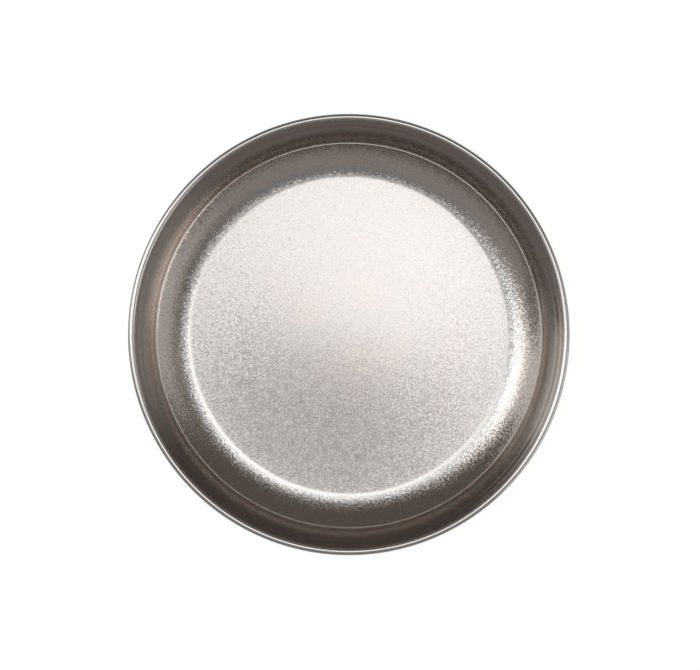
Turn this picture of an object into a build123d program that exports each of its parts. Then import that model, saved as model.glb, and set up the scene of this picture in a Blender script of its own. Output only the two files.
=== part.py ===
"""Paten plate: a round church dish pressed from one sheet, its edge rolled round a wire. Millimetres, +Z up.

The origin is the centre of the underside that the dish rests on, and +Z is the axis of revolution.
Both faces of the sheet follow one chain of tangent lines and arcs, from the centre of the floor to the cut edge.
"""
from math import cos, degrees, radians, sin
import os

from build123d import *

# Driving dimensions
OUTSIDE_DIAMETER = 165.0  # over the rolled edge, 6 1/2 inches
OVERALL_HEIGHT = 24.5
SHEET_THICKNESS = 0.6
WIRE_DIAMETER = 1.4

# Slopes of the upper face above the horizontal, in degrees, from the floor out to the rolled edge
COVE_MIDDLE_SLOPE = 17.0  # where the cove's bend eases
COVE_SLOPE = 39.0  # at the top of the cove
WALL_SLOPE = 70.0  # the straight wall, which a crease parts from the cove
MOUTH_SLOPE = 62.0  # the wall opens a little near its top
NECK_SLOPE = 76.0  # and steepens again to meet the rolled edge

# Radii of the upper face's bends, and how far round its wire the edge is rolled
LOWER_COVE_RADIUS = 15.0
UPPER_COVE_RADIUS = 25.0
CREASE_RADIUS = 2.6
MOUTH_RADIUS = 12.0
NECK_RADIUS = 17.0
ROLL_ANGLE = 280.0

# The wire lies in the roll with a hair of clearance, and its two ends butt with a small gap
WIRE_CLEARANCE = 0.03
WIRE_END_GAP = 0.3

# The bends from floor to roll: radius, slope before and slope after. Where the slope falls, the bend is convex.
BENDS_BELOW_WALL = [
    (LOWER_COVE_RADIUS, 0.0, COVE_MIDDLE_SLOPE),
    (UPPER_COVE_RADIUS, COVE_MIDDLE_SLOPE, COVE_SLOPE),
    (CREASE_RADIUS, COVE_SLOPE, WALL_SLOPE),
]
BENDS_ABOVE_WALL = [
    (MOUTH_RADIUS, WALL_SLOPE, MOUTH_SLOPE),
    (NECK_RADIUS, MOUTH_SLOPE, NECK_SLOPE),
]


def bend_run(bend):
    """How far outwards a bend carries the upper face."""
    radius, before, after = bend
    return radius * abs(sin(radians(after)) - sin(radians(before)))


def bend_rise(bend):
    """How far up a bend carries the upper face."""
    radius, before, after = bend
    return radius * abs(cos(radians(before)) - cos(radians(after)))


# The straight wall takes up what height the bends leave, and the floor what radius
BEAD_RADIUS = WIRE_DIAMETER / 2 + SHEET_THICKNESS
WIRE_CIRCLE_RADIUS = OUTSIDE_DIAMETER / 2 - BEAD_RADIUS
WIRE_HEIGHT = OVERALL_HEIGHT - BEAD_RADIUS
NECK_TOP_RADIUS = WIRE_CIRCLE_RADIUS - BEAD_RADIUS * sin(radians(NECK_SLOPE))
NECK_TOP_HEIGHT = WIRE_HEIGHT + BEAD_RADIUS * cos(radians(NECK_SLOPE))
ALL_BENDS = BENDS_BELOW_WALL + BENDS_ABOVE_WALL
WALL_RISE = NECK_TOP_HEIGHT - SHEET_THICKNESS - sum(bend_rise(bend) for bend in ALL_BENDS)
WALL_LENGTH = WALL_RISE / sin(radians(WALL_SLOPE))
WALL_RUN = WALL_LENGTH * cos(radians(WALL_SLOPE))
FLOOR_RADIUS = NECK_TOP_RADIUS - WALL_RUN - sum(bend_run(bend) for bend in ALL_BENDS)


def add_bends(edges, bends, depth):
    """Adds a tangent arc for each bend, on the face that lies depth below the upper face."""
    for radius, before, after in bends:
        side = 1 if after > before else -1
        edges.append(JernArc(edges[-1] @ 1, edges[-1] % 1, radius + side * depth, after - before))


def sheet_face(depth):
    """The face that lies depth below the sheet's upper face, as a chain of tangent edges."""
    height = SHEET_THICKNESS - depth
    edges = [Line((0, height), (FLOOR_RADIUS, height))]
    add_bends(edges, BENDS_BELOW_WALL, depth)
    edges.append(Line(edges[-1] @ 1, edges[-1] @ 1 + (edges[-1] % 1) * WALL_LENGTH))
    add_bends(edges, BENDS_ABOVE_WALL, depth)
    edges.append(JernArc(edges[-1] @ 1, edges[-1] % 1, BEAD_RADIUS - depth, -ROLL_ANGLE))
    return edges


def dish_body():
    """The pressed sheet: flat floor, cove, crease, wall, mouth and rolled edge, all one piece of metal."""
    upper = sheet_face(0)
    under = sheet_face(SHEET_THICKNESS)
    cut_edge = JernArc(upper[-1] @ 1, upper[-1] % 1, SHEET_THICKNESS / 2, -180)
    axis_side = Line(under[0] @ 0, upper[0] @ 0)
    section = make_face(Plane.XZ * Curve(upper + [cut_edge] + under + [axis_side]))
    return revolve(section, Axis.Z)


def rim_wire():
    """The round wire that stiffens the rolled edge, bent into a ring whose ends butt."""
    gap_angle = degrees(WIRE_END_GAP / WIRE_CIRCLE_RADIUS)
    end_face = Plane.XZ * Pos(WIRE_CIRCLE_RADIUS, WIRE_HEIGHT) * Circle(WIRE_DIAMETER / 2 - WIRE_CLEARANCE)
    ring = revolve(end_face, Axis.Z, 360 - gap_angle)
    return Rot(0, 0, gap_angle / 2) * ring


def main():
    os.makedirs("parts", exist_ok=True)
    pieces = {"dish_body": dish_body(), "rim_wire": rim_wire()}
    for name, shape in pieces.items():
        shape.label = name
        export_step(shape, f"parts/{name}.step")
    print(f"floor radius {FLOOR_RADIUS:.2f}, wall length {WALL_LENGTH:.2f}, neck at {NECK_TOP_RADIUS:.2f}")


main()
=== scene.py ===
"""The looks of the paten plate: stonewashed steel, seen from above on a pale floor.

Everything is in metres, in the frame of the CAD model. The sheet's outline follows the same chain of
tangent lines and arcs as the CAD part, at a finer pitch, so that the polished bends reflect smoothly.
"""

from math import cos, hypot, pi, radians, sin

import bpy
from mathutils import Euler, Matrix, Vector


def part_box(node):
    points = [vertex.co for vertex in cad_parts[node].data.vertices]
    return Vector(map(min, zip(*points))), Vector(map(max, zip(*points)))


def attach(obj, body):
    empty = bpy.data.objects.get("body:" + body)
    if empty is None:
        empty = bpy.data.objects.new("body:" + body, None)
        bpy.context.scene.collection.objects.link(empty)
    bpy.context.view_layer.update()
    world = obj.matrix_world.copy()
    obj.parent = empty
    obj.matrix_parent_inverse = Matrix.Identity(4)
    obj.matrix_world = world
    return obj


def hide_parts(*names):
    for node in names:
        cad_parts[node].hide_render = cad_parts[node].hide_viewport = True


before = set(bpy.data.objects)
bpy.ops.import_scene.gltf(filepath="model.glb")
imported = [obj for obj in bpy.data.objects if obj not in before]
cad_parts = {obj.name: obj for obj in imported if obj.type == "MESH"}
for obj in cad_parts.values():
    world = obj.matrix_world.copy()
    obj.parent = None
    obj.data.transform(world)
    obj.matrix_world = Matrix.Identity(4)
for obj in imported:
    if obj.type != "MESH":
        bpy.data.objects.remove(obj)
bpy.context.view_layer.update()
MM = 0.001


# ---------------------------------------------------------------- the dish's sizes

# From the frame where they show there, and otherwise as the CAD part has them. Slopes are in degrees.
OUTSIDE_RADIUS = max(hypot(v.co.x, v.co.y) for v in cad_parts["dish_body"].data.vertices)
OVERALL_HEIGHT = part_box("dish_body")[1].z
SHEET = 0.6 * MM
BEAD_RADIUS = 1.3 * MM
COVE_MIDDLE_SLOPE = 17.0
COVE_SLOPE = 39.0
WALL_SLOPE = 70.0
MOUTH_SLOPE = 62.0
NECK_SLOPE = 76.0
LOWER_COVE_RADIUS = 15.0 * MM
UPPER_COVE_RADIUS = 25.0 * MM
CREASE_RADIUS = 2.6 * MM
MOUTH_RADIUS = 12.0 * MM
NECK_RADIUS = 17.0 * MM
ROLL_ANGLE = 280.0

# Up to this slope the cove is as smooth as a burnished ring, and a little painted highlight lightens it
COVE_START_SLOPE = 5.0

# The press leaves a hair line along the crease: a tiny ridge with a facet that looks outwards
RIDGE_FOOT_SLOPE = 43.0
RIDGE_RADIUS = 0.02 * MM
FACET_RADIUS = 2.9 * MM
FACET_INNER_SLOPE = -8.3
FACET_OUTER_SLOPE = -10.7

# The skin of each stretch of the section: how coarse its grain is, how brown the metal, and a painted sheen
# and shade.
# The floor is rubbed smooth and the stretched cove is not. The third value is painted light. Above 0 it
# lightens the colour as a painted highlight: the ring at the cove's start, the crease's hair ridge, the
# wall's foot and the bead. Below 0 it darkens the colour as painted shade: the wall.
SKIN_VALUES = ("grain", "brown", "painted_sheen_and_shade")
MIDDLE_SKIN = (0.20, 0.22, 0.08)
FLOOR_SKIN = (0.30, 0.15, 0.03)
COVE_START_SKIN = (0.20, 0.0, 0.25)
LOWER_COVE_SKIN = (1.2, 0.0, 0.1)
UPPER_COVE_SKIN = (1.1, 0.5, 0.1)
RIDGE_SKIN = (0.3, 0.8, 0.5)
WALL_FOOT_SKIN = (0.15, 0.4, 1.5)
WALL_SKIN = (0.2, 0.55, -0.7)
ROLL_SKIN = (0.12, 0.1, 1.0)
UNDER_SKIN = (0.35, 0.3, 0.0)

# Each bend of the sheet: radius, slope before, slope after and skin
BENDS_BELOW_WALL = [
    (LOWER_COVE_RADIUS, 0.0, COVE_START_SLOPE, COVE_START_SKIN),
    (LOWER_COVE_RADIUS, COVE_START_SLOPE, COVE_MIDDLE_SLOPE, LOWER_COVE_SKIN),
    (UPPER_COVE_RADIUS, COVE_MIDDLE_SLOPE, COVE_SLOPE, UPPER_COVE_SKIN),
    (CREASE_RADIUS, COVE_SLOPE, RIDGE_FOOT_SLOPE, RIDGE_SKIN),
    (RIDGE_RADIUS, RIDGE_FOOT_SLOPE, FACET_INNER_SLOPE, RIDGE_SKIN),
    (FACET_RADIUS, FACET_INNER_SLOPE, FACET_OUTER_SLOPE, RIDGE_SKIN),
    (RIDGE_RADIUS, FACET_OUTER_SLOPE, RIDGE_FOOT_SLOPE, RIDGE_SKIN),
    (CREASE_RADIUS, RIDGE_FOOT_SLOPE, WALL_SLOPE, WALL_FOOT_SKIN),
]
BENDS_ABOVE_WALL = [
    (MOUTH_RADIUS, WALL_SLOPE, MOUTH_SLOPE, WALL_SKIN),
    (NECK_RADIUS, MOUTH_SLOPE, NECK_SLOPE, WALL_SKIN),
]

# The mesh's pitch: steps round the dish, degrees a step in the bends, and rings in the straight stretches
SEGMENTS = 360
BEND_STEP = 2.6
RIDGE_STEP = 5.5
ROLL_STEP = 8.0
CUT_EDGE_STEP = 22.5
MIDDLE_RINGS = 8
FLOOR_RINGS = 14
MIDDLE_SHARE = 0.37  # of the floor's radius
WALL_FOOT_RINGS = 1
WALL_RINGS = 4
WALL_FOOT_SHARE = 0.2  # of the wall's length

# A pressed floor is never quite flat: its middle stands a little proud, with shallow waves. Each of the two
# crossing trains of waves has its radians a metre along X and along Y, and its phase at the centre.
FLOOR_CROWN = 0.70 * MM
FLOOR_WAVE = 0.05 * MM
WAVE_TRAINS = ((61.0, 17.0, 0.6), (-29.0, 43.0, 1.1))


# ---------------------------------------------------------------- the dish's sheet

class Outline:
    """A pen that draws the sheet's upper face in the plane of radius and height."""

    def __init__(self, radius, height):
        self.radius = radius
        self.height = height
        self.slope = 0.0
        self.skin = MIDDLE_SKIN
        self.stations = []

    def mark(self):
        """Keeps the pen's place, its slope and the metal's skin there."""
        self.stations.append((self.radius, self.height, radians(self.slope), self.skin))

    def line(self, length, steps):
        """A straight stretch at the pen's slope, in equal steps."""
        for _ in range(steps):
            self.radius += length / steps * cos(radians(self.slope))
            self.height += length / steps * sin(radians(self.slope))
            self.mark()

    def bend(self, radius, turn, step):
        """An arc through turn degrees, anticlockwise where turn is positive."""
        side = 1 if turn > 0 else -1
        centre_r = self.radius - side * radius * sin(radians(self.slope))
        centre_z = self.height + side * radius * cos(radians(self.slope))
        steps = max(4, round(abs(turn) / step))
        for _ in range(steps):
            self.slope += turn / steps
            self.radius = centre_r + side * radius * sin(radians(self.slope))
            self.height = centre_z - side * radius * cos(radians(self.slope))
            self.mark()


def wall_length_and_floor_radius():
    """The straight wall takes up what height the bends leave, and the floor what radius."""
    pen = Outline(0.0, 0.0)
    for radius, before, after, _ in BENDS_BELOW_WALL + BENDS_ABOVE_WALL:
        pen.slope = before
        pen.bend(radius, after - before, BEND_STEP)
    neck_radius = OUTSIDE_RADIUS - BEAD_RADIUS - BEAD_RADIUS * sin(radians(NECK_SLOPE))
    neck_height = OVERALL_HEIGHT - BEAD_RADIUS + BEAD_RADIUS * cos(radians(NECK_SLOPE))
    wall_length = (neck_height - SHEET - pen.height) / sin(radians(WALL_SLOPE))
    return wall_length, neck_radius - wall_length * cos(radians(WALL_SLOPE)) - pen.radius


def sheet_outline():
    """The sheet's section as one closed loop of (radius, height, skin), from the axis out and back.

    The underside lies one sheet's thickness below the upper face and leaves out its hair ridge.
    """
    wall_length, floor_radius = wall_length_and_floor_radius()
    pen = Outline(0.0, SHEET)
    pen.mark()
    pen.line(floor_radius * MIDDLE_SHARE, MIDDLE_RINGS)
    pen.skin = FLOOR_SKIN
    pen.line(floor_radius * (1 - MIDDLE_SHARE), FLOOR_RINGS)
    for radius, before, after, pen.skin in BENDS_BELOW_WALL:
        pen.bend(radius, after - before, BEND_STEP if radius > RIDGE_RADIUS else RIDGE_STEP)
    pen.line(wall_length * WALL_FOOT_SHARE, WALL_FOOT_RINGS)
    pen.skin = WALL_SKIN
    pen.line(wall_length * (1 - WALL_FOOT_SHARE), WALL_RINGS)
    for radius, before, after, pen.skin in BENDS_ABOVE_WALL:
        pen.bend(radius, after - before, BEND_STEP)
    pen.skin = ROLL_SKIN
    pen.bend(BEAD_RADIUS, -ROLL_ANGLE, ROLL_STEP)
    upper = list(pen.stations)
    pen.bend(SHEET / 2, -180.0, CUT_EDGE_STEP)
    cut_edge = pen.stations[len(upper):-1]
    under = [(r + SHEET * sin(slope), z - SHEET * cos(slope), slope, UNDER_SKIN)
             for r, z, slope, skin in upper if skin is not RIDGE_SKIN]
    loop = upper + cut_edge + under[::-1]
    return [(r, z, skin) for r, z, _, skin in loop], floor_radius


def floor_lift(x, y, floor_radius):
    """How far the floor stands above a true plane at one place, falling to nothing at its edge."""
    share = min(1.0, hypot(x, y) / floor_radius)
    fade = (1 - share * share) ** 2
    (first_x, first_y, first_phase), (second_x, second_y, second_phase) = WAVE_TRAINS
    waves = sin(first_x * x + first_y * y + first_phase) * cos(second_x * x + second_y * y + second_phase)
    return fade * (FLOOR_CROWN + FLOOR_WAVE * waves)


def revolved_mesh(name, outline, floor_radius):
    """Turns the closed outline about +Z. Its first and last points lie on the axis.

    The skin of each ring goes with it.
    """
    vertices = []
    faces = []
    inner = outline[1:-1]
    skins = [skin for _, _, skin in inner for _ in range(SEGMENTS)]
    for radius, height, _ in inner:
        for k in range(SEGMENTS):
            angle = 2 * pi * k / SEGMENTS
            x = radius * cos(angle)
            y = radius * sin(angle)
            vertices.append((x, y, height + floor_lift(x, y, floor_radius)))
    for i in range(len(inner) - 1):
        for k in range(SEGMENTS):
            a = i * SEGMENTS + k
            b = i * SEGMENTS + (k + 1) % SEGMENTS
            faces.append((a, a + SEGMENTS, b + SEGMENTS, b))
    last_ring = (len(inner) - 1) * SEGMENTS
    for centre, first in ((outline[0], 0), (outline[-1], last_ring)):
        tip = len(vertices)
        vertices.append((0, 0, centre[1] + floor_lift(0, 0, floor_radius)))
        skins.append(centre[2])
        for k in range(SEGMENTS):
            pair = (first + k, first + (k + 1) % SEGMENTS)
            faces.append((tip, *pair) if first == 0 else (tip, *pair[::-1]))
    mesh = bpy.data.meshes.new(name)
    mesh.from_pydata(vertices, [], faces)
    for i, kind in enumerate(SKIN_VALUES):
        mesh.attributes.new(kind, "FLOAT", "POINT").data.foreach_set("value", [skin[i] for skin in skins])
    mesh.polygons.foreach_set("use_smooth", [True] * len(mesh.polygons))
    return mesh


def add_object(name, data):
    """A new object in the scene, for a mesh or a camera."""
    thing = bpy.data.objects.new(name, data)
    bpy.context.scene.collection.objects.link(thing)
    return thing


# ---------------------------------------------------------------- node helpers

class Nodes:
    """Short calls for building one node tree. A link or a plain value goes to an input by name or number."""

    def __init__(self, tree):
        self.tree = tree

    def add(self, kind, settings=None, **inputs):
        node = self.tree.nodes.new(kind)
        for key, value in (settings or {}).items():
            setattr(node, key, value)
        for key, value in inputs.items():
            self.feed(node, key, value)
        return node

    def feed(self, node, key, value):
        """Key is an input's name with spaces as _, or in0, in1, in2 for an input by its number."""
        if key[:2] == "in" and key[2:].isdigit():
            socket = node.inputs[int(key[2:])]
        else:
            socket = node.inputs[key.replace("_", " ")]
        if isinstance(value, bpy.types.NodeSocket):
            self.tree.links.new(value, socket)
        else:
            socket.default_value = value

    def math(self, operation, *values):
        inputs = {f"in{i}": value for i, value in enumerate(values)}
        return self.add("ShaderNodeMath", {"operation": operation}, **inputs).outputs[0]

    def vector(self, operation, *values):
        """Vector maths: its result is a number for a dot product or a length."""
        node = self.add("ShaderNodeVectorMath", {"operation": operation})
        for i, value in enumerate(values):
            self.feed(node, "Scale" if operation == "SCALE" and i == 1 else f"in{i}", value)
        return node.outputs["Value" if operation in ("DOT_PRODUCT", "LENGTH") else "Vector"]

    def smooth(self, value, low, high, to_low=0.0, to_high=1.0):
        """A smooth step of value, from to_low at low to to_high at high."""
        settings = {"interpolation_type": "SMOOTHSTEP"}
        return self.add("ShaderNodeMapRange", settings, in0=value, in1=low, in2=high,
                        in3=to_low, in4=to_high).outputs[0]

    def blend(self, factor, first, second, kind="MIX"):
        """Two colours mixed, or joined in another of the Mix node's ways."""
        node = self.add("ShaderNodeMix", {"data_type": "RGBA", "blend_type": kind, "clamp_factor": True})
        for socket, value in ((0, factor), (6, first), (7, second)):
            self.feed(node, f"in{socket}", value)
        return node.outputs[2]

    def noise(self, vector, scale, detail, roughness, output="Fac"):
        return self.add("ShaderNodeTexNoise", None, Vector=vector, Scale=scale, Detail=detail,
                        Roughness=roughness).outputs[output]


def new_material(name):
    """An empty material, and the helper that builds its nodes."""
    material = bpy.data.materials.new(name)
    material.use_nodes = True
    material.node_tree.nodes.clear()
    return material, Nodes(material.node_tree)


def grey(level):
    return (level, level, level, 1.0)


# ---------------------------------------------------------------- steel

STEEL_COOL = (0.618, 0.612, 0.606, 1.0)
STEEL_BROWN = (0.690, 0.590, 0.520, 1.0)
DISH_ROUGHNESS = 0.135
WIRE_ROUGHNESS = 0.3

# A noise is given as its cells a metre, its octaves and how strong each octave is beside the one before.
# Each layer of grain: its noise, and how far it leans the surface, as a tangent for the noise's full range
GRAIN_LAYERS = [
    ((1450.0, 1.0, 0.6), 0.27),
    ((2900.0, 1.0, 0.6), 0.25),
]
# Each layer of scratches: cells a metre, a groove's half width in cells, and the tangent of its banks' slope
SCRATCH_LAYERS = [
    (380.0, 0.07, 0.07),
    (560.0, 0.10, 0.07),
    (900.0, 0.15, 0.07),
]
SCRATCH_SHIFT = (0.31, 0.17, 0.11)  # from one layer to the next, so that their cells don't line up

# Brown clouds, and a mottle and a speckle of light and dark
CLOUD_NOISE = (38.0, 5.0, 0.62)
CLOUD_RANGE = (0.35, 0.68)  # of the noise, from no cloud to full cloud
CLOUD_BROWN = 0.15
MOTTLE_NOISE = (420.0, 3.0, 0.6)
SPECKLE_NOISE = (2100.0, 1.0, 0.6)

# How much lighter each thing makes the metal, and how much rougher the mottle's full range makes it
MOTTLE_SHADE = 0.16
SPECKLE_SHADE = 0.5
SCRATCH_SHADE = -0.03
# The last of these is painted light: it lightens the colour as a painted highlight, or darkens it as painted
# shade where the skin's third value is below 0
PAINTED_SHEEN_STRENGTH = 0.22
MOTTLE_ROUGHNESS = 0.16


def scratch_group():
    """A node group: one layer of short straight scratches, each in its own cell and its own direction.

    It gives the sideways tilt that a groove's two banks give the surface, and how deep the groove is there.
    """
    group = bpy.data.node_groups.new("short_scratches", "ShaderNodeTree")
    for name, kind in (("Vector", "Vector"), ("Normal", "Vector"), ("Scale", "Float"), ("Width", "Float")):
        group.interface.new_socket(name, in_out="INPUT", socket_type=f"NodeSocket{kind}")
    group.interface.new_socket("Tilt", in_out="OUTPUT", socket_type="NodeSocketVector")
    group.interface.new_socket("Depth", in_out="OUTPUT", socket_type="NodeSocketFloat")
    n = Nodes(group)
    given = n.add("NodeGroupInput").outputs
    scaled = n.vector("SCALE", given["Vector"], given["Scale"])
    cell = n.add("ShaderNodeTexVoronoi", None, Vector=scaled, Scale=1.0)
    offset = n.vector("SUBTRACT", scaled, cell.outputs["Position"])
    chance = n.vector("SUBTRACT", cell.outputs["Color"], (0.5, 0.5, 0.5))
    along = n.vector("NORMALIZE", n.vector("CROSS_PRODUCT", given["Normal"], chance))
    across = n.vector("CROSS_PRODUCT", given["Normal"], along)
    side = n.math("DIVIDE", n.vector("DOT_PRODUCT", offset, across), given["Width"])
    reach = n.math("ABSOLUTE", n.vector("DOT_PRODUCT", offset, along))
    # Its sides fade out from 0.3 to 1 half width, and its ends from 0.25 to 0.5 of a cell
    groove = n.smooth(n.math("ABSOLUTE", side), 0.3, 1.0, 1.0, 0.0)
    depth = n.math("MULTIPLY", groove, n.smooth(reach, 0.25, 0.5, 1.0, 0.0))
    bank = n.math("MULTIPLY", depth, n.smooth(side, -0.4, 0.4, -1.0, 1.0))
    n.add("NodeGroupOutput", None, Tilt=n.vector("SCALE", across, bank), Depth=depth)
    return group


def worn_surface(n, place, facing, coarse, scratches):
    """The surface's normal under the grain and the scratches, and how deep the scratches are there."""
    tilt = (0.0, 0.0, 0.0)
    for noise, spread in GRAIN_LAYERS:
        lean = n.vector("SUBTRACT", n.noise(place, *noise, output="Color"), (0.5, 0.5, 0.5))
        tilt = n.vector("ADD", tilt, n.vector("SCALE", lean, spread))
    marks = 0.0
    for turn, (scale, width, spread) in enumerate(SCRATCH_LAYERS):
        shifted = n.vector("ADD", place, tuple(turn * shift for shift in SCRATCH_SHIFT))
        layer = n.add("ShaderNodeGroup", {"node_tree": scratches}, Vector=shifted, Normal=facing,
                      Scale=scale, Width=width).outputs
        tilt = n.vector("ADD", tilt, n.vector("SCALE", layer["Tilt"], spread))
        marks = n.math("ADD", marks, layer["Depth"])
    return n.vector("NORMALIZE", n.vector("ADD", facing, n.vector("SCALE", tilt, coarse))), marks


def steel(name, scratches, roughness, skin=None):
    """Stonewashed stainless steel: a satin metal under several layers of short scratches and a fine grain.

    Its skin, with its painted sheen and shade, comes from the mesh, unless it is given as one for the whole
    surface.
    """
    material, n = new_material(name)
    place = n.add("ShaderNodeTexCoord").outputs["Object"]
    facing = n.add("ShaderNodeNewGeometry").outputs["Normal"]
    if skin is None:
        skin = [n.add("ShaderNodeAttribute", {"attribute_name": kind}).outputs["Fac"] for kind in SKIN_VALUES]
    coarse, brown, painted_sheen_and_shade = skin
    normal, marks = worn_surface(n, place, facing, coarse, scratches)
    cloud = n.smooth(n.noise(place, *CLOUD_NOISE), *CLOUD_RANGE)
    tint = n.blend(n.math("ADD", brown, n.math("MULTIPLY", cloud, CLOUD_BROWN)), STEEL_COOL, STEEL_BROWN)
    mottle = n.math("ADD", n.noise(place, *MOTTLE_NOISE), -0.5)
    speckle = n.math("MULTIPLY", n.math("ADD", n.noise(place, *SPECKLE_NOISE), -0.5), coarse)
    # The mottle, speckle and scratches vary the metal's own colour; the skin's third value adds painted
    # highlight and painted shade
    shade = 1.0
    for pattern, lighter in ((mottle, MOTTLE_SHADE), (speckle, SPECKLE_SHADE), (marks, SCRATCH_SHADE),
                             (painted_sheen_and_shade, PAINTED_SHEEN_STRENGTH)):
        shade = n.math("ADD", shade, n.math("MULTIPLY", pattern, lighter))
    satin = n.math("ADD", n.math("MULTIPLY", mottle, MOTTLE_ROUGHNESS), roughness)
    shader = n.add("ShaderNodeBsdfPrincipled", None, Base_Color=n.vector("SCALE", tint, shade), Metallic=1.0,
                   Roughness=satin, Normal=normal)
    n.add("ShaderNodeOutputMaterial", None, Surface=shader.outputs[0])
    return material


# ---------------------------------------------------------------- stage

# Light panels: zenith angle, azimuth, half width across, half length along, edge softness, brightness.
# The steel shows each one where it slopes about half the zenith angle, on the far side of the dish.
PANELS = [
    (8.9, 74.5, 0.20, 0.165, 0.04, 0.71),  # a window: the upper part of the floor
    (16.8, 54.3, 0.335, 0.14, 0.30, 1.10),  # the glow round it: the ring at the lower left
    (1.7, -101.0, 0.44, 0.185, 0.015, 0.385),  # the ceiling: all of the floor
    (30.6, 161.5, 0.215, 0.165, 0.30, 3.0),  # a lamp: the lower cove on the right
    (68.0, -5.0, 0.47, 0.47, 0.30, 0.38),  # the upper cove on the left
    (39.0, -103.0, 1.38, 0.43, 0.30, 0.165),  # the cove along the top
    (55.0, 165.0, 0.215, 0.31, 0.04, 0.54),  # the upper cove on the right
    (79.0, 166.0, 0.45, 0.13, 0.10, 0.50),  # the top of the cove on the right
    (83.0, -24.0, 0.40, 0.085, 0.03, 1.30),  # the top of the cove on the left
]
AMBIENT = (0.115, 0.104, 0.094, 1.0)  # the surroundings between the panels

STAGE_RADIUS = 5.0
BACKDROP_RADIUS = 1.02 * STAGE_RADIUS
REFLECTED_FLOOR_DEPTH = 0.5 * MM  # below the floor that the camera sees

# The camera: a long lens above, looking down with +Y upwards in the picture
LENS = 150.0
SENSOR = 36.0
PICTURE_OVER_RIM = 1.5832  # the picture's width over the rim's diameter
PICTURE_SHIFT = (0.0020, -0.0012)  # of the picture's width
CAMERA_LEAN = (1.08, 0.46)  # degrees: the camera stands a little towards -Y and +X of straight above


def direction(zenith, azimuth):
    """A unit vector zenith degrees from straight up, azimuth degrees round from +X."""
    z = radians(zenith)
    a = radians(azimuth)
    return Vector((sin(z) * cos(a), sin(z) * sin(a), cos(z)))


def soft_panel(n, ray, zenith, azimuth, half_across, half_along, softness):
    """A rectangular light panel in the sky, as a mask of the ray's direction.

    Along is away from the zenith and across is level. The sizes are tangents of angles from its middle.
    """
    middle = direction(zenith, azimuth)
    across = Vector((0, 0, 1)).cross(direction(90, azimuth))
    along = across.cross(middle)
    towards = n.vector("DOT_PRODUCT", ray, middle)
    ahead = n.math("MAXIMUM", towards, 0.001)  # never 0, because it divides
    mask = n.smooth(towards, 0.0, 0.1)
    for axis, half in ((across, half_across), (along, half_along)):
        slant = n.math("ABSOLUTE", n.math("DIVIDE", n.vector("DOT_PRODUCT", ray, axis), ahead))
        mask = n.math("MULTIPLY", mask, n.smooth(slant, half - softness, half + softness, 1.0, 0.0))
    return mask


def studio_sky():
    """The world: dim warm surroundings with soft panels, most of them high up."""
    world = bpy.data.worlds.new("studio")
    world.use_nodes = True
    world.node_tree.nodes.clear()
    bpy.context.scene.world = world
    n = Nodes(world.node_tree)
    ray = n.vector("NORMALIZE", n.add("ShaderNodeTexCoord").outputs["Generated"])
    total = AMBIENT
    for *panel, brightness in PANELS:
        lit = n.math("MULTIPLY", soft_panel(n, ray, *panel), brightness)
        colour = n.add("ShaderNodeCombineColor", None, Red=lit, Green=lit, Blue=lit).outputs[0]
        total = n.blend(1.0, total, colour, "ADD")
    sky = n.add("ShaderNodeBackground", None, Color=total, Strength=1.0)
    n.add("ShaderNodeOutputWorld", None, Surface=sky.outputs[0])


def disc(name, radius, height, sides=96):
    """A level round sheet with its middle on the axis."""
    rim = [(radius * cos(2 * pi * k / sides), radius * sin(2 * pi * k / sides), height) for k in range(sides)]
    mesh = bpy.data.meshes.new(name)
    mesh.from_pydata(rim, [], [tuple(range(sides))])
    return add_object(name, mesh)


def stage_material(name, albedo, glow):
    """A matt surface that also glows a little, so that it stays pale."""
    material, n = new_material(name)
    shader = n.add("ShaderNodeBsdfPrincipled", None, Base_Color=grey(albedo), Roughness=0.9,
                   Specular_IOR_Level=0.0, Emission_Color=grey(1.0), Emission_Strength=glow)
    n.add("ShaderNodeOutputMaterial", None, Surface=shader.outputs[0])
    return material


def show_only(thing, *kinds):
    """Leaves the thing visible to these kinds of ray alone."""
    for kind in ("camera", "diffuse", "glossy", "transmission", "volume_scatter", "shadow"):
        setattr(thing, f"visible_{kind}", kind in kinds)


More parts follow.
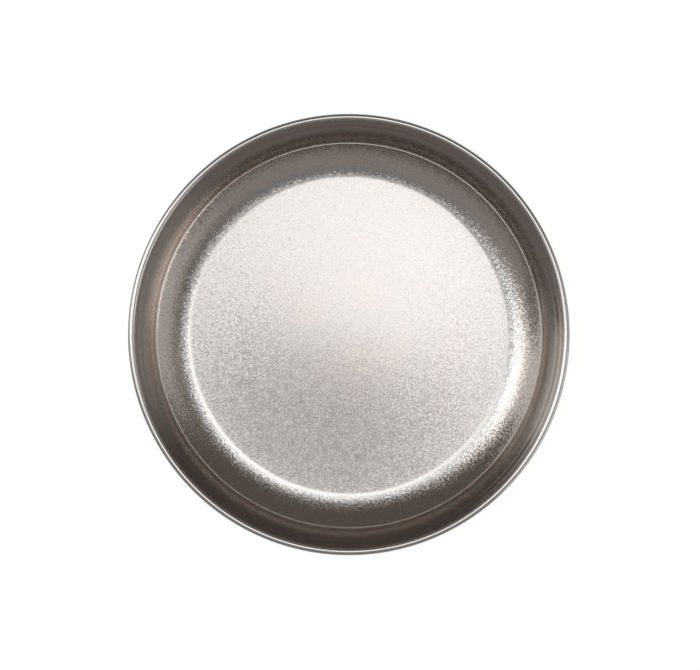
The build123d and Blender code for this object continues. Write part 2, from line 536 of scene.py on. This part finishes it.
def build_stage():
    """A white floor and backdrop for the camera, and a greyer floor for the metal to reflect."""
    floor = disc("floor", STAGE_RADIUS, 0.0)
    floor.data.materials.append(stage_material("floor_white", albedo=0.5, glow=0.85))
    show_only(floor, "camera")
    table = disc("reflected_floor", STAGE_RADIUS, -REFLECTED_FLOOR_DEPTH)
    table.data.materials.append(stage_material("floor_pale", albedo=0.5, glow=0.14))
    show_only(table, "glossy", "diffuse", "shadow")
    bpy.ops.mesh.primitive_uv_sphere_add(segments=64, ring_count=32, radius=BACKDROP_RADIUS)
    backdrop = bpy.context.object
    backdrop.name = "backdrop"
    backdrop.data.materials.append(stage_material("backdrop_white", albedo=0.0, glow=1.0))
    show_only(backdrop, "camera")


def add_camera():
    """The camera looks at the middle of the rim's top, from where the rim fills its share of the picture."""
    data = bpy.data.cameras.new("camera")
    data.lens = LENS
    data.sensor_width = SENSOR
    camera = add_object("camera", data)
    distance = PICTURE_OVER_RIM * 2 * OUTSIDE_RADIUS * LENS / SENSOR
    turn = Euler([radians(lean) for lean in (*CAMERA_LEAN, 0.0)])
    camera.rotation_euler = turn
    camera.location = Vector((0, 0, OVERALL_HEIGHT)) + turn.to_matrix() @ Vector((0, 0, distance))
    data.shift_x, data.shift_y = PICTURE_SHIFT
    data.clip_start = 0.05
    data.clip_end = 3 * STAGE_RADIUS
    bpy.context.scene.camera = camera


# ---------------------------------------------------------------- the scene

def build():
    bpy.context.scene.view_settings.view_transform = "Standard"
    scratches = scratch_group()
    outline, floor_radius = sheet_outline()
    dish = add_object("dish", revolved_mesh("dish", outline, floor_radius))
    dish.data.materials.append(steel("stonewashed_steel", scratches, DISH_ROUGHNESS))
    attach(dish, "root")
    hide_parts("dish_body")
    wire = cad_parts["rim_wire"]
    wire.data.materials.clear()
    # The wire takes the wall's skin, whose third value darkens its colour as painted shade
    wire.data.materials.append(steel("drawn_wire_steel", scratches, WIRE_ROUGHNESS, WALL_SKIN))
    studio_sky()
    build_stage()
    add_camera()


build()
